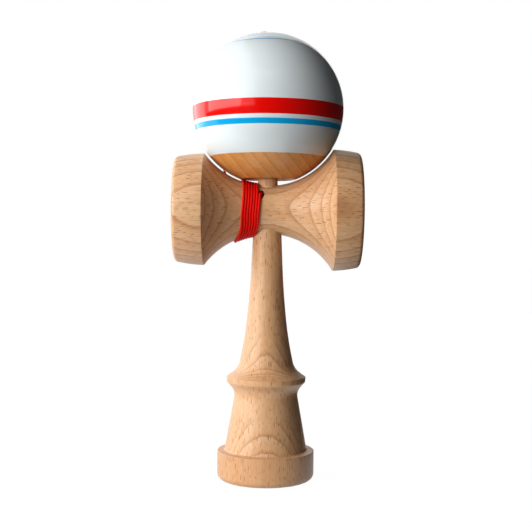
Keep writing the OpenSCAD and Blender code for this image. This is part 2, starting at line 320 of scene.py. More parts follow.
@dataclass(frozen=True)
class Wood(Finish):
    """Fine sanded beech with growth layers, ray flecks and fibres.

    A span holds the two ends of a smooth step, or the least value and the spread of a random one.
    """

    name: str
    grain: GrainRun
    layer_pitch: float
    layer_shift: float
    middle: float
    layer_depth: float = 0.5
    layer_bow: float = 2.0
    pale: Colour = shade(0.77, 0.49, 0.27)
    tan: Colour = shade(0.64, 0.305, 0.122)
    line: Colour = shade(0.42, 0.185, 0.075)
    fleck: Colour = shade(0.27, 0.08, 0.02)
    deep_brown: Colour = shade(0.54, 0.23, 0.07)
    warp: float = 2.2
    ripple: float = 0.4
    early_wood: Span = (0.0, 0.9)
    early_share: float = 0.4
    late_wood: Span = (0.72, 0.96)
    late_end: Span = (0.965, 1.0)
    tone_gain: float = 1.2
    tone_base: float = 0.35
    plain: tuple[Span, ...] = ()
    plain_share: float = 0.93
    plain_tone: float = 0.16
    plain_in: float = 4.0
    plain_out: float = 2.0
    # Height under which the wood turns browner, and the share of deep brown there
    browner_below: float = -99.0
    browner_share: float = 0.4
    flank: Span = (0.66, 0.8)
    flank_edge: Span = (0.72, 0.95)
    flank_fade: float = 0.0
    end_from: float = 999.0
    end_from_blur: float = 1.0
    end_r: float = 0.0
    end_r_blur: float = 0.3
    end_share: float = 0.3
    end_fade: float = 0.7
    fibre: Span = (0.42, 0.72)
    fibre_share: float = 0.34
    fleck_share: float = 0.78
    fleck_wander: float = 1.1
    fleck_columns: float = 1330.0
    fleck_rows: float = 290.0
    fleck_sheets: float = 90.0
    fleck_half: Span = (0.12, 0.28)
    fleck_thick: Span = (0.14, 0.16)
    fleck_dark: Span = (0.35, 0.65)
    fleck_kept: Span = (0.42, 0.48)
    fleck_tip: float = 0.35
    fleck_side: float = 0.6
    column_seed: float = 0.37
    row_slide: float = 11.0
    sheet_slide: float = 5.0
    rough: float = 0.40
    fibre_rough: float = 0.10
    fleck_rough: float = 0.06
    fibre_height: float = 0.35
    fleck_height: float = 0.4
    line_height: float = 0.25
    relief: float = 0.1

    def build(self) -> Material:
        """Make the material.

        Returns:
            The wood.
        """
        graph = self.start()
        base, height, rough = self.pattern(graph)
        surface = {
            "Base Color": base,
            "Roughness": rough,
            "Normal": graph.bump(0.5, self.relief, height),
            "Specular IOR Level": 1.0,
            "Sheen Weight": 0.1,
            "Sheen Roughness": 0.4,
        }
        return self.end(graph, surface)

    def pattern(self, graph: Graph) -> tuple[Wire, Wire, Wire]:
        """Draw the wood.

        Args:
            graph: Graph of the material.

        Returns:
            Colour, height and roughness.
        """
        centre = Euler(self.grain.value).to_matrix() @ Vector((0, 0, -self.middle * MM))
        turned = {"Vector": graph.coords(), "Location": tuple(centre), "Rotation": self.grain.value}
        place = graph.node("ShaderNodeMapping", None, turned)
        across, deep, tall = graph.split(place)
        axis_r = (across * across + deep * deep).root()
        turned_away = across.size() / axis_r.most(MM)
        end_grain = (tall.size() / MM).rise(self.end_from, self.end_from_blur)
        end_grain = end_grain * (axis_r / MM).fall(self.end_r, self.end_r_blur)
        warp = (graph.noise(place, WARP) - 0.5) * (self.warp * MM)
        ripple = (graph.noise(place, RIPPLE) - 0.5) * (self.ripple * MM)
        bow = across * across * self.layer_bow
        phase = ((warp + ripple - bow - deep) / (self.layer_pitch * MM) + self.layer_shift).fract()
        edge = phase.step(*self.late_wood) * phase.step(*self.late_end, 1.0, 0.0)
        drawn = phase.step(*self.early_wood) * self.early_share
        lines = edge * self.layer_depth * (1.0 - end_grain * self.end_fade)
        lines = lines * (1.0 - turned_away.step(*self.flank_edge) * self.flank_fade)
        along = tall / MM + self.middle
        for low, high in self.plain:
            hidden = along.rise(low, self.plain_in) * along.fall(high, self.plain_out)
            shown = 1.0 - hidden * self.plain_share
            drawn = self.plain_tone + (drawn - self.plain_tone) * shown
            lines = lines * shown
        tone = drawn + graph.noise(place, TONE) * self.tone_gain - self.tone_base
        fibre = graph.noise(place, FIBRE)
        base = graph.mix(tone.most(0.0).least(1.0), self.pale, self.tan)
        # Browner towards the bottom: under a set height the colour goes part way to deep brown
        deep_brown = along.step(self.browner_below, self.browner_below + 1, self.browner_share, 0.0)
        base = graph.mix(deep_brown, base, self.deep_brown)
        base = graph.mix(lines, base, self.line)
        base = graph.mix(fibre.step(*self.fibre) * self.fibre_share, base, self.line)
        flank = turned_away.step(*self.flank)
        wander = (graph.noise(place, WANDER) - 0.5) * (self.fleck_wander * MM)
        flecks = self.flecks(graph, across + wander, deep, tall) * (1.0 - flank)
        flecks = flecks + self.flecks(graph, deep + wander, across, tall) * flank
        flecks = flecks * (1.0 - end_grain)
        base = graph.mix(end_grain * self.end_share, base, self.deep_brown)
        base = graph.mix(flecks * self.fleck_share, base, self.fleck)
        rough = self.rough + fibre * self.fibre_rough - flecks * self.fleck_rough
        height = fibre * self.fibre_height - flecks * self.fleck_height - edge * self.line_height
        return base, height, rough

    def flecks(self, graph: Graph, wide: Wire, deep: Wire, tall: Wire) -> Wire:
        """Draw short dark rays along the grain, each in a random cell of its own.

        Args:
            graph: Graph of the material.
            wide: Place across the rays.
            deep: Place through the wood.
            tall: Place along the grain.

        Returns:
            Share of the dark colour.
        """
        width = wide * self.fleck_columns
        column = width.floor()
        seed = {"W": column + self.column_seed}
        jitter = graph.node("ShaderNodeTexWhiteNoise", {"noise_dimensions": "1D"}, seed)
        slide = tall * self.fleck_rows + jitter * self.row_slide
        sheet = (deep * self.fleck_sheets + jitter * self.sheet_slide).floor()
        cell = graph.node("ShaderNodeCombineXYZ", None, {"X": column, "Y": slide.floor(), "Z": sheet})
        chance = graph.node("ShaderNodeTexWhiteNoise", {"noise_dimensions": "3D"}, {"Vector": cell}, "Color")
        draw = graph.node("ShaderNodeSeparateColor", None, {0: chance})
        half, thick, dark = (
            least + draw.out(place) * spread
            for place, (least, spread) in ((1, self.fleck_half), (2, self.fleck_thick), (2, self.fleck_dark))
        )
        along = 1.0 - (slide.fract() - 0.5).size() / half
        side = 1.0 - (width.fract() - 0.5).size() / thick
        body = along.step(0.0, self.fleck_tip) * side.step(0.0, self.fleck_side)
        return body * draw.step(*self.fleck_kept) * dark


@dataclass(frozen=True)
class Lacquer(Wood):
    """Gloss paint bands on the ball, with clear gloss on bare wood round its spike hole.

    A thin ring has its upper edge over the ball's middle and its share of blue.
    """

    paint_depth: float = 0.0
    red_top: float = 0.35
    red_w: float = 5.8
    band_gap: float = 1.5
    blue_w: float = 2.05
    ring_w: float = 0.34
    rings: tuple[tuple[float, float], ...] = ((24.7, 0.9), (27.4, 0.7))
    edge_blur: float = 0.05
    edge_sway: float = 0.12
    bare_rough: float = 0.22
    paint_rough: float = 0.07
    peel_rough: float = 0.05
    peel_depth: float = 0.02
    white: Colour = shade(0.76, 0.82, 0.83)
    red: Colour = shade(0.80, 0.004, 0.002)
    blue: Colour = shade(0.003, 0.38, 0.76)

    def build(self) -> Material:
        """Make the material.

        Returns:
            The lacquer.
        """
        graph = self.start()
        wood, _, _ = self.pattern(graph)
        coords = graph.coords()
        sway = (graph.noise(coords, BRUSH) - 0.5) * self.edge_sway
        level = graph.split(coords)[2] / MM - self.middle + sway
        blue_top = self.red_top - self.red_w - self.band_gap
        paint = graph.mix(self.band(level, self.red_top, self.red_w), self.white, self.red)
        paint = graph.mix(self.band(level, blue_top, self.blue_w), paint, self.blue)
        for top, share in self.rings:
            paint = graph.mix(self.band(level, top, self.ring_w) * share, paint, self.blue)
        painted = level.rise(-self.paint_depth, self.edge_blur)
        rough = painted.step(0.0, 1.0, self.bare_rough, self.paint_rough)
        peel = graph.noise(coords, PEEL)
        surface = {
            "Base Color": graph.mix(painted, wood, paint),
            "Roughness": rough + peel * self.peel_rough,
            "Normal": graph.bump(0.25, self.peel_depth, peel),
        }
        return self.end(graph, surface)

    def band(self, level: Wire, top: float, width: float) -> Wire:
        """Find one band, by its upper edge over the ball's middle and its width."""
        return level.rise(top - width, self.edge_blur) * level.fall(top, self.edge_blur)


@dataclass(frozen=True)
class Thread(Finish):
    """Red braided string, with painted shade in the grooves between its yarns and random yarn tone."""

    name: str
    high: Colour = shade(0.92, 0.008, 0.004)
    low: Colour = shade(0.76, 0.005, 0.003)
    groove_shade_share: float = 0.8
    fuzz_share: float = 0.3
    rough: float = 0.5
    fuzz_rough: float = 0.1

    def build(self) -> Material:
        """Make the material.

        Returns:
            The string's finish.
        """
        graph = self.start()
        braid = graph.node("ShaderNodeAttribute", {"attribute_name": "braid"}, None, "Fac")
        fuzz = graph.noise(graph.coords(), FUZZ)
        # Painted shade: the red is darker in the braid's grooves and lighter on its crowns; the fuzz adds
        # random yarn tone
        share = (braid * self.groove_shade_share + fuzz * self.fuzz_share).least(1.0)
        surface = {
            "Base Color": graph.mix(share, self.low, self.high),
            "Roughness": self.rough + fuzz * self.fuzz_rough,
            "Specular IOR Level": 0.15,
        }
        return self.end(graph, surface)


@dataclass(frozen=True)
class BeadWood(Finish):
    """Plain pale bead."""

    name: str
    colour: Colour = shade(0.78, 0.70, 0.55)
    dark: Colour = shade(0.52, 0.40, 0.26)
    dark_share: float = 0.4
    rough: float = 0.45

    def build(self) -> Material:
        """Make the material.

        Returns:
            The bead's finish.
        """
        graph = self.start()
        fibre = graph.noise(graph.coords(), BEAD_FIBRE)
        base = graph.mix(fibre * self.dark_share, self.colour, self.dark)
        return self.end(graph, {"Base Color": base, "Roughness": self.rough})


class Outline:
    """Half outline of a turned piece, as rows of radius, height and rounding."""

    def __init__(self, rows: Sequence[Row] = ()) -> None:
        """Start with the rows given."""
        self.rows: list[Row] = list(rows)

    def to(self, radius: float, height: float, rounding: float = 0.0) -> "Outline":
        """Go on to a point, whose corner may be rounded, and give this outline back."""
        self.rows.append((radius, height, rounding))
        return self

    def arc(
        self, centre: tuple[float, float], radius: float, start: float, end: float
    ) -> "Outline":
        """Go along an arc, without its end points.

        Args:
            centre: Radius and height of its centre.
            radius: Radius of the arc.
            start: First angle, from the radius axis.
            end: Last angle.

        Returns:
            This outline.
        """
        steps = max(2, math.ceil(abs(end - start) * radius / LONGEST_RUN))
        for step in range(1, steps):
            angle = start + (end - start) * step / steps
            self.to(centre[0] + radius * math.cos(angle), centre[1] + radius * math.sin(angle))
        return self

    def dish(self, mouth_r: float, depth: float, ease: float, face: float, inward: int) -> "Outline":
        """Start with a spherical dish and the eased edge of its mouth.

        Args:
            mouth_r: Radius of the mouth.
            depth: Depth of the dish.
            ease: Width of the bevel at the mouth.
            face: Height of the face that it is cut in.
            inward: 1 if the dish goes up from its face, or -1.

        Returns:
            This outline.
        """
        sphere_r = (mouth_r**2 + depth**2) / (2 * depth)
        centre = face + inward * (depth - sphere_r)
        ease_r, ease_z = mouth_r - ease, face + inward * ease
        self.to(0, face + inward * depth)
        self.arc((0, centre), sphere_r, inward * math.pi / 2, math.atan2(ease_z - centre, ease_r))
        return self.to(ease_r, ease_z).to(mouth_r, face)

    def points(self) -> list[Vector]:
        """Round the corners and split the long runs.

        Returns:
            Points in metres, with the radius in X and the height in Z.
        """
        rounded: list[Vector] = []
        last = len(self.rows) - 1
        for index, (radius, height, rounding) in enumerate(self.rows):
            here = Vector((radius, height))
            if rounding and 0 < index < last:
                before = Vector(self.rows[index - 1][:2])
                after = Vector(self.rows[index + 1][:2])
                rounded.extend(self.corner(before, here, after, rounding))
            else:
                rounded.append(here)
        split = [rounded[0]]
        for here in rounded[1:]:
            start = split[-1]
            gap = here - start
            parts = max(1, math.ceil(gap.length / LONGEST_RUN))
            split.extend(start + gap * part / parts for part in range(1, parts + 1))
        return [Vector((point.x, 0.0, point.y)) * MM for point in split]

    def corner(self, before: Vector, here: Vector, after: Vector, rounding: float) -> list[Vector]:
        """Round one corner, with a run of at most half of each edge.

        Args:
            before: Point before the corner.
            here: The corner.
            after: Point after the corner.
            rounding: Wanted radius.

        Returns:
            Points of the arc.
        """
        back = (before - here).normalized()
        ahead = (after - here).normalized()
        half = back.angle(ahead) / 2
        if half > STRAIGHT:
            return [here]
        room = min((before - here).length, (after - here).length) / 2
        run = min(rounding / math.tan(half), room)
        radius = run * math.tan(half)
        centre = here + (back + ahead).normalized() * (radius / math.sin(half))
        start = here + back * run - centre
        end = here + ahead * run - centre
        sweep = math.atan2(start.x * end.y - start.y * end.x, start.dot(end))
        steps = max(3, math.ceil(abs(sweep) / CORNER_STEP))
        return [centre + Matrix.Rotation(sweep * step / steps, 2) @ start for step in range(steps + 1)]


class NodeTool:
    """A Geometry Nodes tree that makes a plain mesh out of a base line."""

    def __init__(self, name: str, inputs: dict[str, str]) -> None:
        """Start the tree with its named inputs and the finish.

        Args:
            name: Tree name.
            inputs: Socket type of each input.
        """
        self.tree = bpy.data.node_groups.new(name, "GeometryNodeTree")
        self.tree.is_modifier = True
        self.keys: dict[str, str] = {}
        face = self.tree.interface
        face.new_socket(name="Geometry", in_out="INPUT", socket_type="NodeSocketGeometry")
        for label, kind in {**inputs, "Finish": "Material"}.items():
            item = face.new_socket(name=label, in_out="INPUT", socket_type=f"NodeSocket{kind}")
            self.keys[label] = item.identifier
        face.new_socket(name="Geometry", in_out="OUTPUT", socket_type="NodeSocketGeometry")
        self.graph = Graph(self.tree)
        self.given = self.graph.node("NodeGroupInput")

    def close(self, shape: Wire) -> None:
        """End the tree in smooth, realised geometry with its finish.

        Args:
            shape: Geometry to hand on.
        """
        graph = self.graph
        smooth = graph.node("GeometryNodeSetShadeSmooth", None, {"Geometry": shape})
        real = graph.node("GeometryNodeRealizeInstances", None, {"Geometry": smooth})
        finish = {"Geometry": real, "Material": self.given.out("Finish")}
        graph.node("NodeGroupOutput", None, {"Geometry": graph.node("GeometryNodeSetMaterial", None, finish)})

    def make(self, name: str, line: Sequence[Vector], values: dict[str, Any]) -> Piece:
        """Run the tree on a line of points.

        Args:
            name: Name of the new piece.
            line: Points in metres.
            values: Value of each named input.

        Returns:
            The piece, as a plain mesh whose faces point outward.
        """
        mesh = bpy.data.meshes.new(f"{name}_line")
        links = [(index, index + 1) for index in range(len(line) - 1)]
        mesh.from_pydata([tuple(point) for point in line], links, [])
        base = bpy.data.objects.new(f"{name}_line", mesh)
        bpy.context.scene.collection.objects.link(base)
        modifier = base.modifiers.new("shape", "NODES")
        modifier.node_group = self.tree
        for label, value in values.items():
            modifier[self.keys[label]] = value
        piece = plain_copy(base, name)
        remove(base)
        face_outward(piece.data)
        LOG.info("%s has %d faces", name, len(piece.data.polygons))
        return piece


class Lathe(NodeTool):
    """Turns an outline round its axis, then leans and lifts it to its seat."""

    def __init__(self) -> None:
        """Build the tree."""
        super().__init__("turn_on_lathe", {"Facets": "Int", "Lean": "Vector", "Seat": "Vector"})
        graph = self.graph
        line = self.given.out("Geometry")
        facets = self.given.out("Facets")
        count = graph.node("GeometryNodeAttributeDomainSize", {"component": "MESH"}, {"Geometry": line})
        around = facets + 1.0
        grid = graph.node("GeometryNodeMeshGrid", None, {"Vertices X": count, "Vertices Y": around})
        index = graph.node("GeometryNodeInputIndex")
        row = ((index + 0.5) / around).floor()
        turn = (index - row * around) / facets * math.tau
        spot = graph.node(
            "GeometryNodeSampleIndex",
            {"data_type": "FLOAT_VECTOR", "domain": "POINT"},
            {"Geometry": line, "Value": graph.node("GeometryNodeInputPosition"), "Index": row},
        )
        radius, _, height = graph.split(spot)
        ring = {"X": radius * turn.cos(), "Y": radius * turn.sin(), "Z": height}
        place = graph.node("ShaderNodeCombineXYZ", None, ring)
        shape = graph.node("GeometryNodeSetPosition", None, {"Geometry": grid, "Position": place})
        shape = graph.node("GeometryNodeMergeByDistance", None, {"Geometry": shape, "Distance": WELD_GAP})
        lean = graph.node("FunctionNodeEulerToRotation", None, {"Euler": self.given.out("Lean")})
        seated = {"Geometry": shape, "Translation": self.given.out("Seat"), "Rotation": lean}
        self.close(graph.node("GeometryNodeTransform", None, seated))

    def turn(
        self,
        name: str,
        outline: Outline,
        finish: Material,
        facets: int,
        seat: Sequence[float] = (0.0, 0.0, 0.0),
        lean: Sequence[float] = (0.0, 0.0, 0.0),
    ) -> Piece:
        """Turn one piece, with its origin on a seat in metres and its axis leaned in radians."""
        values = {"Facets": facets, "Lean": tuple(lean), "Seat": tuple(seat), "Finish": finish}
        return self.make(name, outline.points(), values)


class Braider(NodeTool):
    """Sweeps a round braided cord along a line."""

    ring_points: int = 16
    strands: int = 4
    step: float = 0.26
    strand_lay: float = 1.3
    relief: float = 0.04

    def __init__(self) -> None:
        """Build the tree."""
        inputs = {"Thickness": "Float", "Step": "Float", "Lay": "Float", "Relief": "Float"}
        super().__init__("lay_braided_cord", inputs)
        graph = self.graph
        given = self.given
        line = graph.node("GeometryNodeMeshToCurve", None, {"Mesh": given.out("Geometry")})
        steps = {"Curve": line, "Length": given.out("Step")}
        line = graph.node("GeometryNodeResampleCurve", {"mode": "LENGTH"}, steps)
        reach = graph.node("GeometryNodeSplineParameter", None, None, "Length")
        centre = graph.node("GeometryNodeInputPosition")
        line = graph.node(
            "GeometryNodeCaptureAttribute",
            {"captures": (("FLOAT", "along"), ("VECTOR", "centre"))},
            {"Geometry": line, "along": reach, "centre": centre},
        )
        size = {"Resolution": self.ring_points, "Radius": given.out("Thickness") * 0.5}
        ring = graph.node("GeometryNodeCurvePrimitiveCircle", None, size)
        share = graph.node("GeometryNodeSplineParameter", None, None, "Factor")
        ring = graph.node(
            "GeometryNodeCaptureAttribute",
            {"captures": (("FLOAT", "around"),)},
            {"Geometry": ring, "around": share},
        )
        swept = {"Curve": line, "Profile Curve": ring, "Fill Caps": True}
        tube = graph.node("GeometryNodeCurveToMesh", None, swept)
        wave = (line.out("along") / given.out("Lay") * math.tau).cos()
        braid = 0.5 + (ring.out("around") * (self.strands * math.tau)).cos() * wave * 0.5
        ends = {0: graph.node("GeometryNodeInputPosition"), 1: line.out("centre")}
        away = graph.node("ShaderNodeVectorMath", {"operation": "SUBTRACT"}, ends)
        away = graph.node("ShaderNodeVectorMath", {"operation": "NORMALIZE"}, {0: away})
        rise = (braid - 1.0) * given.out("Relief")
        lift = graph.node("ShaderNodeVectorMath", {"operation": "SCALE"}, {0: away, "Scale": rise})
        tube = graph.node("GeometryNodeSetPosition", None, {"Geometry": tube, "Offset": lift})
        tube = graph.node(
            "GeometryNodeStoreNamedAttribute",
            {"data_type": "FLOAT", "domain": "POINT"},
            {"Geometry": tube, "Name": "braid", "Value": braid},
        )
        self.close(tube)

    def lay(
        self, name: str, line: Sequence[Vector], finish: Material, thickness: float
    ) -> Piece:
        """Lay one cord.

        Args:
            name: Piece name.
            line: Points in metres.
            finish: Its material.
            thickness: Diameter.

        Returns:
            The cord.
        """
        values = {
            "Thickness": thickness * MM,
            "Step": self.step * MM,
            "Lay": self.strand_lay * MM,
            "Relief": self.relief * MM,
            "Finish": finish,
        }
        return self.make(name, line, values)


def remove(piece: Piece) -> None:
    """Delete an object and its mesh.

    Args:
        piece: Object to delete.
    """
    mesh = piece.data
    bpy.data.objects.remove(piece)
    if mesh.users == 0:
        bpy.data.meshes.remove(mesh)


def plain_copy(base: Piece, name: str) -> Piece:
    """Make a plain mesh of an object's evaluated form.

    Args:
        base: Object with modifiers.
        name: Name of the new piece.

    Returns:
        The new piece, without modifiers.
    """
    bpy.context.view_layer.update()
    graph = bpy.context.evaluated_depsgraph_get()
    mesh = bpy.data.meshes.new_from_object(base.evaluated_get(graph))
    mesh.name = name
    piece = bpy.data.objects.new(name, mesh)
    bpy.context.scene.collection.objects.link(piece)
    return piece


def face_outward(mesh: bpy.types.Mesh) -> None:
    """Turn the faces of a closed mesh outward.

    Args:
        mesh: Mesh whose faces agree with each other.
    """
    mesh.calc_loop_triangles()
    places = mesh.vertices
    volume = 0.0
    for triangle in mesh.loop_triangles:
        first, second, third = (places[index].co for index in triangle.vertices)
        volume += first.dot(second.cross(third))
    if volume < 0:
        mesh.flip_normals()
    mesh.update()


def bore(piece: Piece, cutters: Sequence[Piece]) -> Piece:
    """Cut closed forms out of a piece.

    Args:
        piece: Piece to cut, which is used up.
        cutters: Forms to take away, which are used up too.

    Returns:
        The cut piece.
    """
    name = piece.name
    piece.name = f"{name}_blank"
    for cutter in cutters:
        modifier = piece.modifiers.new(cutter.name, "BOOLEAN")
        modifier.operation = "DIFFERENCE"
        modifier.solver = "EXACT"
        modifier.object = cutter
    made = plain_copy(piece, name)
    for used in (piece, *cutters):
        remove(used)
    return made


def soften(piece: Piece) -> None:
    """Shade a piece smooth, with sharp edges where it turns."""
    piece.data.shade_smooth()
    piece.data.set_sharp_from_angle(angle=SHARP_ANGLE)


@dataclass
class Handle:
    """Turned handle with its spike, and the cup in its foot."""

    base_d: float = 38.5
    base_rim_h: float = 11.5
    base_round: float = 3.7
    dish_d: float = 28.0
    dish_depth: float = 6.5
    dish_ease: float = 0.5
    foot_d: float = 32.7
    foot_z: float = 11.7
    foot_round: float = 0.8
    neck_d: float = 24.4
    neck_z: float = 35.1
    neck_round: float = 5.3
    collar_low_d: float = 31.2
    collar_low_z: float = 38.8
    collar_low_round: float = 0.8
    collar_d: float = 31.6
    collar_z: float = 40.7
    bell_d: float = 22.3
    bell_z: float = 44.1
    bell_round: float = 7.0
    grip_low_d: float = 17.1
    grip_low_z: float = 56.8
    grip_low_round: float = 150.0
    grip_high_d: float = 13.2
    grip_high_z: float = 75.5
    grip_high_round: float = 400.0
    cross_z: float = 107.3
    seat_mid_d: float = 9.75
    seat_slope: float = 0.08115
    seat_reach: float = 10.55
    swell_d: float = 6.2
    swell_z: float = 137.85
    swell_round: float = 60.0
    tip_d: float = 3.6
    tip_round: float = 1.6
    arris: float = 0.3
    facets: int = 160

    def seat_r(self, rise: float) -> float:
        """Radius of the double cup's seat at a height over the double cup's axis."""
        return self.seat_mid_d / 2 - self.seat_slope * rise

    def outline(self) -> Outline:
        """Draw the half outline from the foot's dish to the tip.

        Returns:
            The outline.
        """
        tip_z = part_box("ken")[1].z / MM
        line = Outline().dish(self.dish_d / 2, self.dish_depth, self.dish_ease, 0.0, 1)
        for diameter, height, rounding in (
            (self.base_d, 0.0, self.base_round),
            (self.base_d, self.base_rim_h, self.arris),
            (self.foot_d, self.foot_z, self.foot_round),
            (self.neck_d, self.neck_z, self.neck_round),
            (self.collar_low_d, self.collar_low_z, self.collar_low_round),
            (self.collar_d, self.collar_z, self.arris),
            (self.bell_d, self.bell_z, self.bell_round),
            (self.grip_low_d, self.grip_low_z, self.grip_low_round),
            (self.grip_high_d, self.grip_high_z, self.grip_high_round),
        ):
            line.to(diameter / 2, height, rounding)
        for rise in (-self.seat_reach, self.seat_reach):
            line.to(self.seat_r(rise), self.cross_z + rise)
        line.to(self.swell_d / 2, self.swell_z, self.swell_round)
        return line.to(self.tip_d / 2, tip_z, self.tip_round).to(0, tip_z)

    def build(self, lathe: Lathe, wood: Material) -> None:
        """Turn the handle and put it in the frame.

        Args:
            lathe: Tool that turns it.
            wood: Its finish.
        """
        piece = lathe.turn("handle", self.outline(), wood, self.facets)
        soften(piece)
        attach(piece, "ken")
        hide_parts("ken")


@dataclass
class DoubleCup:
    """Turned double cup across the handle, with its tapered bore."""

    handle: Handle
    waist_d: float = 19.1
    reach: float = 36.75
    big_d: float = 48.2
    big_flare_r: float = 30.6
    big_dish_depth: float = 8.5
    small_d: float = 44.4
    small_flare_r: float = 31.3
    small_dish_depth: float = 7.8
    band_taper: float = 1.4
    crown_r: float = 60.0
    crown_shares: tuple[float, ...] = (0.45, 0.6, 0.75, 0.88)
    rim_round: float = 1.8
    lip_w: float = 3.2
    ease: float = 0.5
    arris: float = 0.22
    taper_gap: float = 0.05
    bore_reach: float = 30.0
    bore_facets: int = 96
    facets: int = 192
    lean: Triple = (0.0, math.pi / 2, 0.0)

    def half(self, cup_d: float, flare_r: float, dish_depth: float) -> list[Row]:
        """Draw one cup's half outline, from the middle of its dish to the waist.

        Args:
            cup_d: Diameter at the flare's edge.
            flare_r: Radius of the flare.
            dish_depth: Depth of the dish.

        Returns:
            Rows of radius, height and rounding.
        """
        cup_r = cup_d / 2
        rim_r = cup_r - self.band_taper
        hub = (self.waist_d / 2 + flare_r, 0.0)
        edge = math.sqrt(flare_r**2 - (hub[0] - cup_r) ** 2)
        line = Outline().dish(rim_r - self.lip_w, dish_depth, self.ease, self.reach, -1)
        line.to(rim_r, self.reach, self.rim_round)
        start, end = Vector((rim_r, self.reach)), Vector((cup_r, edge))
        chord = end - start
        inward = Vector((chord.y, -chord.x)).normalized()
        centre = (start + end) / 2 + inward * math.sqrt(self.crown_r**2 - (chord.length / 2) ** 2)
        first, last = (math.atan2(point.y - centre.y, point.x - centre.x) for point in (start, end))
        for share in self.crown_shares:
            angle = first + (last - first) * share
            line.to(centre.x + self.crown_r * math.cos(angle), centre.y + self.crown_r * math.sin(angle))
        line.to(cup_r, edge, self.arris)
        line.arc(hub, flare_r, math.atan2(edge, cup_r - hub[0]), math.pi)
        return line.rows

    def outline(self) -> Outline:
        """Draw the whole half outline, from the big cup to the small one.

        Returns:
            The outline.
        """
        small = self.half(self.small_d, self.small_flare_r, self.small_dish_depth)
        line = Outline(self.half(self.big_d, self.big_flare_r, self.big_dish_depth))
        line.to(self.waist_d / 2, 0)
        for radius, height, rounding in reversed(small):
            line.to(radius, -height, rounding)
        return line

    def build(self, lathe: Lathe, wood: Material, cord: "Cord") -> None:
        """Turn the double cup, bore it and put it in the frame.

        Args:
            lathe: Tool that turns it.
            wood: Its finish.
            cord: String that its side hole lets in.
        """
        seat = Vector((0, 0, self.handle.cross_z)) * MM
        blank = lathe.turn("double_cup", self.outline(), wood, self.facets, seat, self.lean)
        taper = Outline().to(0, -self.bore_reach)
        for rise in (-self.bore_reach, self.bore_reach):
            taper.to(self.handle.seat_r(rise) + self.taper_gap, rise)
        taper.to(0, self.bore_reach)
        through = lathe.turn("cross_bore", taper, wood, self.bore_facets, seat)
        piece = bore(blank, (through, cord.hole_cutter(lathe, wood)))
        soften(piece)
        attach(piece, "ken")
        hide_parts("sarado")


@dataclass
class Ball:
    """Lacquered ball with its spike hole and string hole."""

    ball_d: float = 60.0
    hole_d: float = 17.6
    bevel: float = 2.1
    mouth_round: float = 0.25
    crown_wall: float = 11.0
    drill_point: float = 118.0
    point_round: float = 0.2
    string_d: float = 3.4
    string_mouth: float = 1.7
    string_round: float = 0.6
    string_lead: float = 0.7
    paint_depth: float = 19.15
    paint_step: float = 0.04
    paint_edge: float = 0.05
    facets: int = 224

    @property
    def mouth_r(self) -> float:
        """Radius of the spike hole's bevelled mouth."""
        return self.hole_d / 2 + self.bevel

    @property
    def middle(self) -> float:
        """Height of the ball's middle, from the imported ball's mouth."""
        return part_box("tama")[0].z / MM + math.sqrt((self.ball_d / 2) ** 2 - self.mouth_r**2)

    def outline(self) -> Outline:
        """Draw the half outline from the crown's hole round to the bore and back up.

        Returns:
            The outline, with heights over the ball's middle.
        """
        ball_r = self.ball_d / 2
        string_r = self.string_d / 2
        bore_r = self.hole_d / 2
        top_r = string_r + self.string_mouth
        top_z = math.sqrt(ball_r**2 - top_r**2)
        neck_z = top_z - self.string_mouth
        low_z = -math.sqrt(ball_r**2 - self.mouth_r**2)
        point_z = ball_r - self.crown_wall
        bore_z = point_z - (bore_r - string_r) / math.tan(math.radians(self.drill_point / 2))
        paint_z = -self.paint_depth
        paint_r = math.sqrt(ball_r**2 - self.paint_depth**2)
        bare_from = math.atan2(paint_z - self.paint_edge, paint_r)
        line = Outline().to(string_r, neck_z, self.string_round).to(top_r, top_z, self.mouth_round)
        line.arc((0, 0), ball_r, math.atan2(top_z, top_r), math.atan2(paint_z, paint_r)).to(paint_r, paint_z)
        line.arc((0, 0), ball_r - self.paint_step, bare_from, math.atan2(low_z, self.mouth_r))
        line.to(self.mouth_r, low_z, self.mouth_round).to(bore_r, low_z + self.bevel, self.mouth_round)
        line.to(bore_r, bore_z).to(string_r, point_z, self.point_round)
        return line.to(string_r, neck_z - self.string_lead).to(string_r, neck_z, self.string_round)

    def build(self, lathe: Lathe, lacquer: Material) -> None:
        """Turn the ball and put it in the frame.

        Args:
            lathe: Tool that turns it.
            lacquer: Its finish.
        """
        seat = Vector((0, 0, self.middle)) * MM
        piece = lathe.turn("ball", self.outline(), lacquer, self.facets, seat)
        soften(piece)
        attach(piece, "tama")
        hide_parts("tama")


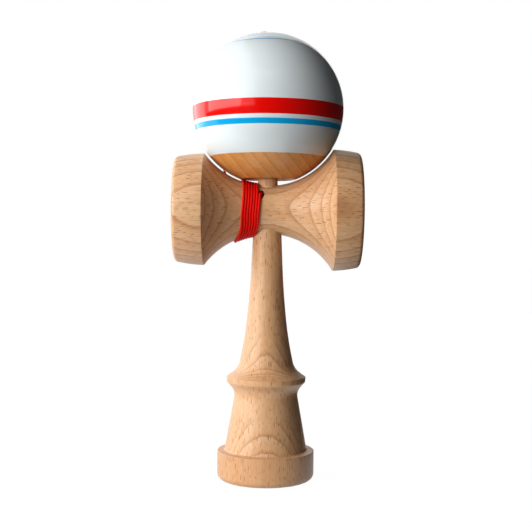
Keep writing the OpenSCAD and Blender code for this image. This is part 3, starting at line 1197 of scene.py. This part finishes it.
@dataclass
class Cord:
    """String from the handle's hole, round the small cup's arm and up into the ball.

    The rise is given over the ball's middle, and angles round the arm are degrees, 0 at the front and 270
    on top.
    """

    cups: DoubleCup
    thickness: float = 1.02
    turns: int = 6
    turn_start: float = -4.76
    turn_slack: float = 0.02
    turn_tilt_slack: float = 0.005
    turn_swing: float = 1.6
    turn_lean: float = 0.7
    turn_step: float = 4.0
    leave: float = 180.0
    tail: float = 0.5
    hole_up: float = 37.0
    hole_d: float = 2.4
    hole_mouth: float = 1.0
    hole_round: float = 0.5
    hole_clear: float = 3.0
    hole_facets: int = 48
    bend_in: float = 1.4
    bend_out: float = 9.0
    bend_parts: int = 8
    knot_d: float = 3.2
    knot_l: float = 2.6
    knot_thread: float = 0.9
    knot_parts: int = 96
    knot_spin: float = 0.2
    rise_parts: int = 6
    rise: tuple[Triple, ...] = (
        (-13.8, 13.4, -38.0), (-14.6, 14.4, -35.0), (-16.2, 16.0, -30.0), (-18.1, 17.7, -23.0),
        (-19.8, 19.2, -16.0), (-21.2, 20.6, -9.4), (-22.1, 21.3, -4.2), (-22.2, 21.5, 1.0),
        (-21.8, 21.0, 6.2), (-20.7, 20.0, 11.3), (-19.1, 18.5, 15.9), (-16.8, 16.3, 20.2),
        (-14.2, 13.8, 23.7), (-11.2, 10.8, 26.7), (-8.2, 7.9, 28.8), (-5.2, 5.0, 30.2),
        (-3.2, 3.1, 30.7), (-1.7, 1.7, 30.7), (-0.9, 0.8, 30.3), (-0.2, 0.2, 29.4),
        (0.0, 0.0, 28.2), (0.0, 0.0, 25.0), (0.0, 0.0, 21.0), (0.0, 0.0, 17.0), (0.0, 0.0, 13.5),
    )

    def turn_point(self, angle: float) -> Vector:
        """Point of the winding.

        Args:
            angle: Degrees round the arm.

        Returns:
            The point.
        """
        cups = self.cups
        pitch = self.thickness + self.turn_slack
        tilt = pitch - self.turn_tilt_slack
        spin = math.radians(angle)
        along = self.turn_start - tilt - pitch * (angle - 270) / 360
        along += self.turn_swing * math.cos(spin) - tilt * math.sin(spin)
        along += self.turn_lean * (2 * max(0.0, math.sin(spin)) * max(0.0, math.cos(spin))) ** 2
        flare = cups.small_flare_r if along < 0 else cups.big_flare_r
        arm = cups.waist_d / 2 + flare - math.sqrt(flare**2 - along**2)
        radius = arm + self.thickness / 2 / math.cos(math.asin(along / flare))
        return Vector((along, -radius * math.cos(spin), cups.handle.cross_z - radius * math.sin(spin)))

    @property
    def hole_point(self) -> Vector:
        """Point of the winding over the string hole."""
        return self.turn_point(-self.hole_up)

    @property
    def hole_dir(self) -> Vector:
        """Direction of the string hole, outward from the handle's axis."""
        point = self.hole_point
        return Vector((point.x, point.y, 0)).normalized()

    @property
    def hole_reach(self) -> float:
        """Distance of the winding's first point from the handle's axis."""
        return Vector((self.hole_point.x, self.hole_point.y)).length

    def hole_axis(self, reach: float) -> Vector:
        """Point on the string hole's axis at a distance from the handle's axis."""
        return self.hole_dir * reach + Vector((0, 0, self.hole_point.z))

    def path(self, ball_z: float) -> list[Vector]:
        """Lay the whole string.

        Args:
            ball_z: Height of the ball's middle.

        Returns:
            Points from the knot in the handle to the knot under the bead.
        """
        start = self.bend_out - self.hole_up
        end = self.leave + 360 * self.turns
        straight = self.hole_reach - self.bend_in
        inner, outer = self.hole_axis(straight), self.turn_point(start)
        shares = [part / self.bend_parts for part in range(self.bend_parts + 1)]
        points = [self.hole_axis(-self.tail + (straight + self.tail) * share) for share in shares]
        for share in shares[1:]:
            bend = self.hole_point * (2 * share * (1 - share))
            points.append(inner * (1 - share) ** 2 + bend + outer * share**2)
        steps = math.ceil((end - start) / self.turn_step)
        points.extend(self.turn_point(start + (end - start) * step / steps) for step in range(1, steps + 1))
        upward = Vector((0, 0, 1))
        knots = [points[-1] - upward, points[-1], points[-1] + upward * self.thickness]
        knots.extend(Vector((x, y, z + ball_z)) for x, y, z in self.rise)
        knots.append(knots[-1] - upward)
        return points + self.spline(knots, self.rise_parts)

    def spline(self, knots: Sequence[Vector], steps: int) -> list[Vector]:
        """Run a smooth line through points, without the first and the last.

        Args:
            knots: Points that it goes through.
            steps: Steps between two of them.

        Returns:
            Points of the line, after its start.
        """
        line: list[Vector] = []
        for index in range(1, len(knots) - 2):
            before, start, end, after = knots[index - 1:index + 3]
            slope = end - before
            square = before * 2 - start * 5 + end * 4 - after
            cube = start * 3 - before - end * 3 + after
            for step in range(1, steps + 1):
                share = step / steps
                line.append((start * 2 + slope * share + square * share**2 + cube * share**3) / 2)
        return line

    def knot_path(self, middle: Vector, axis: Vector) -> list[Vector]:
        """Tie an overhand knot that is drawn tight.

        Args:
            middle: Its middle.
            axis: Direction of the string through it.

        Returns:
            Points in metres.
        """
        wide = (self.knot_d - self.knot_thread) / 6
        tall = (self.knot_l - self.knot_thread) / 2
        turn = axis.to_track_quat("Z", "Y")
        line = []
        for part in range(self.knot_parts + 1):
            spin = math.tau * part / self.knot_parts + self.knot_spin
            x = wide * (math.sin(spin) + 2 * math.sin(2 * spin))
            y = wide * (math.cos(spin) - 2 * math.cos(2 * spin))
            line.append((middle + turn @ Vector((x, y, -tall * math.sin(3 * spin)))) * MM)
        return line

    def hole_cutter(self, lathe: Lathe, finish: Material) -> Piece:
        """Form of the countersunk string hole through the double cup.

        Args:
            lathe: Tool that turns it.
            finish: Finish of the cut.

        Returns:
            The cutter.
        """
        radius = self.hole_d / 2
        mouth_r = radius + self.hole_mouth
        surface = self.hole_reach - self.thickness / 2
        top = surface + self.hole_clear
        line = Outline().to(0, 0).to(radius, 0).to(radius, surface - self.hole_mouth, self.hole_round)
        line.to(mouth_r, surface).to(mouth_r, top).to(0, top)
        lean = self.hole_dir.to_track_quat("Z", "Y").to_euler()
        seat = Vector((0, 0, self.hole_point.z)) * MM
        return lathe.turn("string_hole", line, finish, self.hole_facets, seat, lean)

    def build(self, braider: Braider, finish: Material, ball_z: float) -> None:
        """Lay the string, tie its knots and put them in the frame.

        Args:
            braider: Tool that lays it.
            finish: Its material.
            ball_z: Height of the ball's middle.
        """
        line = [point * MM for point in self.path(ball_z)]
        length = sum((after - before).length for before, after in zip(line, line[1:]))
        LOG.info("the string is %.1f mm long", length / MM)
        piece = braider.lay("string", line, finish, self.thickness)
        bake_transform(piece)
        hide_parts("string_winding", "string_rise", "string_neck")
        tuple(self.hole_point * MM)
        ends = (("ken_knot", "ken", self.hole_dir), ("bead_knot", "bead", Vector((0, 0, 1))))
        for node, body, axis in ends:
            low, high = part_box(node)
            middle = (low + high) / (2 * MM)
            knot = braider.lay(f"tied_{node}", self.knot_path(middle, axis), finish, self.knot_thread)
            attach(knot, body)
            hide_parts(node)


@dataclass
class Camera:
    """Camera of the photograph."""

    distance: float = 395.0
    height: float = 93.3
    pitch: float = 0.955
    roll: float = 0.47
    lens: float = 67.0
    sensor_w: float = 36.0
    shift_x: float = -0.0019
    near: float = 10.0

    def build(self) -> None:
        """Set the camera up."""
        data = bpy.data.cameras.new("photo_camera")
        data.lens = self.lens
        data.sensor_width = self.sensor_w
        data.shift_x = self.shift_x
        data.clip_start = self.near * MM
        camera = bpy.data.objects.new("photo_camera", data)
        camera.location = Vector((0, -self.distance, self.height)) * MM
        turn = Euler((math.radians(90 - self.pitch), 0, 0)).to_matrix()
        camera.rotation_euler = (turn @ Matrix.Rotation(math.radians(self.roll), 3, "Z")).to_euler()
        bpy.context.scene.collection.objects.link(camera)
        bpy.context.scene.camera = camera


@dataclass
class Lamp:
    """One soft box that faces the toy, at degrees to its left and above it, in metres and watts."""

    name: str
    side: float
    rise: float
    width: float
    height: float
    power: float
    mirrored: bool = True
    distance: float = 0.95
    aim_z: float = 0.1

    def build(self) -> None:
        """Hang the soft box."""
        data = bpy.data.lights.new(self.name, "AREA")
        data.shape = "RECTANGLE"
        data.size = self.width
        data.size_y = self.height
        data.energy = self.power
        lamp = bpy.data.objects.new(self.name, data)
        side, rise = math.radians(self.side), math.radians(self.rise)
        way = Vector((-math.sin(side) * math.cos(rise), -math.cos(side) * math.cos(rise), math.sin(rise)))
        lamp.location = Vector((0, 0, self.aim_z)) + way * self.distance
        lamp.rotation_euler = way.to_track_quat("Z", "Y").to_euler()
        lamp.visible_camera = False
        lamp.visible_glossy = self.mirrored
        bpy.context.scene.collection.objects.link(lamp)


@dataclass
class Studio:
    """White table and surroundings, the lamps, and black cloth that shades the toy.

    Flags shade it and show in its gloss. Screens show only there.
    """

    fill: float = 0.02
    floor_glow: float = 0.98
    floor_lit: float = 0.05
    floor_bounce: float = 0.45
    floor_reach: float = 3.0
    glow_edge: Span = (0.15, 0.55)
    cloth: float = 0.02
    flags: tuple[Sheet, ...] = (
        ("side_flag", (0.5, -0.8, 0.0), (0.5, 1.5, 2.2)),
        ("table_flag", (-0.3, -0.8, 0.002), (0.5, -0.12, 0.002)),
        ("top_flag", (-0.25, -0.6, 0.9), (0.5, 0.6, 0.9)),
        ("front_flag", (-0.30, -0.8, 0.0), (0.5, -0.8, 0.9)),
    )
    screens: tuple[Sheet, ...] = (
        ("far_screen", (-1.0, -1.3, 0.0), (-1.0, 0.3, 0.11)),
        ("near_screen", (-1.0, -1.3, 0.0), (-0.3, -1.3, 0.11)),
        ("left_screen", (-1.0, -1.3, 0.002), (-0.3, -0.05, 0.002)),
        ("right_screen", (0.06, -0.12, 0.002), (0.5, 1.5, 0.002)),
    )
    lamps: tuple[Lamp, ...] = (
        Lamp("key", 42.0, 18.5, 1.0, 0.55, 3.9, mirrored=False),
        Lamp("window", 70.0, 12.3, 1.1, 0.36, 3.4),
        Lamp("front", 36.0, 1.0, 0.8, 0.2, 6.5, mirrored=False),
        Lamp("high", 75.0, 45.0, 0.6, 0.6, 2.4, mirrored=False),
        Lamp("side", 130.0, 12.0, 0.7, 0.9, 2.7),
        Lamp("back", -162.0, 20.0, 0.8, 0.8, 4.2, mirrored=False),
    )

    def build(self) -> None:
        """Set up the lamps, the floor, the flags and screens, and the world."""
        for lamp in self.lamps:
            lamp.build()
        reach = self.floor_reach
        self.panel("floor", (-reach, -reach, 0), (reach, reach, 0), self.floor_material())
        black = self.cloth_material()
        for sheet in self.flags + self.screens:
            flag = self.panel(*sheet, black)
            flag.visible_camera = False
            flag.visible_diffuse = flag.visible_shadow = sheet in self.flags
        world = bpy.data.worlds.new("studio")
        bpy.context.scene.world = world
        graph = Graph.cleared(world)
        colour = graph.mix(self.seen(graph), grey(self.fill), grey(1.0))
        sky = graph.node("ShaderNodeBackground", None, {"Color": colour, "Strength": 1.0})
        graph.node("ShaderNodeOutputWorld", None, {"Surface": sky})
        bpy.context.scene.view_settings.view_transform = "Standard"

    def seen(self, graph: Graph) -> Wire:
        """Give one for the rays that show the white background: camera, mirror and glass rays."""
        path = graph.node("ShaderNodeLightPath", None, None, "Is Camera Ray")
        return (path + path.out("Is Glossy Ray") + path.out("Is Transmission Ray")).least(1.0)

    def panel(self, name: str, low: Triple, high: Triple, finish: Material) -> Piece:
        """Make a flat panel that is square to an axis.

        Args:
            name: Object name.
            low: One corner.
            high: The other corner, with one value equal.
            finish: Its material.

        Returns:
            The panel.
        """
        first, second = (axis for axis in range(3) if low[axis] != high[axis])
        corners = [list(low), list(low), list(high), list(low)]
        corners[1][first] = high[first]
        corners[3][second] = high[second]
        mesh = bpy.data.meshes.new(name)
        mesh.from_pydata(corners, [], [(0, 1, 2, 3)])
        mesh.materials.append(finish)
        piece = bpy.data.objects.new(name, mesh)
        bpy.context.scene.collection.objects.link(piece)
        return piece

    def floor_material(self) -> Material:
        """White table that shows a light shadow.

        Returns:
            The material.
        """
        graph = Graph.cleared(bpy.data.materials.new("white_table"))
        away = graph.node("ShaderNodeVectorMath", {"operation": "LENGTH"}, {0: graph.coords()}, "Value")
        level = away.step(*self.glow_edge, self.floor_glow, 1.0)
        white = graph.node("ShaderNodeCombineColor", None, {0: level, 1: level, 2: level})
        matt = graph.node("ShaderNodeBsdfDiffuse", None, {"Color": grey(self.floor_bounce)})
        table = graph.node("ShaderNodeBsdfDiffuse", None, {"Color": grey(self.floor_lit)})
        shine = graph.node("ShaderNodeEmission", None, {"Color": white, "Strength": 1.0})
        shown = graph.node("ShaderNodeAddShader", None, {0: table, 1: shine})
        mixed = graph.node("ShaderNodeMixShader", None, {0: self.seen(graph), 1: matt, 2: shown})
        graph.node("ShaderNodeOutputMaterial", None, {"Surface": mixed})
        return graph.owner

    def cloth_material(self) -> Material:
        """Black cloth of the flags and screens.

        Returns:
            The material.
        """
        graph = Graph.cleared(bpy.data.materials.new("black_flag"))
        matt = graph.node("ShaderNodeBsdfDiffuse", None, {"Color": grey(self.cloth)})
        graph.node("ShaderNodeOutputMaterial", None, {"Surface": matt})
        return graph.owner


def main() -> None:
    """Build the camera, the string, the turned pieces and the studio."""
    logging.basicConfig(level=logging.INFO, format="%(name)s: %(message)s")
    Camera().build()
    lathe, braider = Lathe(), Braider()
    handle, ball = Handle(), Ball()
    cups = DoubleCup(handle)
    cord = Cord(cups)
    cord.build(braider, Thread("red_string").build(), ball.middle)
    wood = Wood(
        "beech_handle",
        GrainRun.UPRIGHT,
        layer_pitch=1.3,
        layer_shift=0.6,
        middle=handle.cross_z,
        layer_depth=0.6,
        layer_bow=-19.0,
        plain=((-9.0, 10.0), (24.0, 40.5), (55.0, 180.0)),
        browner_below=11.0,
        flank_fade=0.6,
    )
    handle.build(lathe, wood.build())
    wood = Wood(
        "beech_double_cup",
        GrainRun.ACROSS,
        layer_pitch=3.2,
        layer_shift=0.53,
        middle=handle.cross_z,
        layer_depth=0.62,
        end_from=27.0,
        end_r=20.3,
    )
    cups.build(lathe, wood.build(), cord)
    lacquer = Lacquer(
        "ball_lacquer",
        GrainRun.SLANTED,
        layer_pitch=3.4,
        layer_shift=0.2,
        middle=ball.middle,
        layer_depth=0.32,
        pale=shade(0.80, 0.37, 0.11),
        tan=shade(0.66, 0.265, 0.066),
        line=shade(0.40, 0.14, 0.03),
        fleck_share=0.25,
        paint_depth=ball.paint_depth,
    )
    ball.build(lathe, lacquer.build())
    bead = bpy.data.objects["string_bead"]
    bead.data.materials.clear()
    bead.data.materials.append(BeadWood("plain_bead").build())
    Studio().build()


if __name__ == "__main__":
    main()
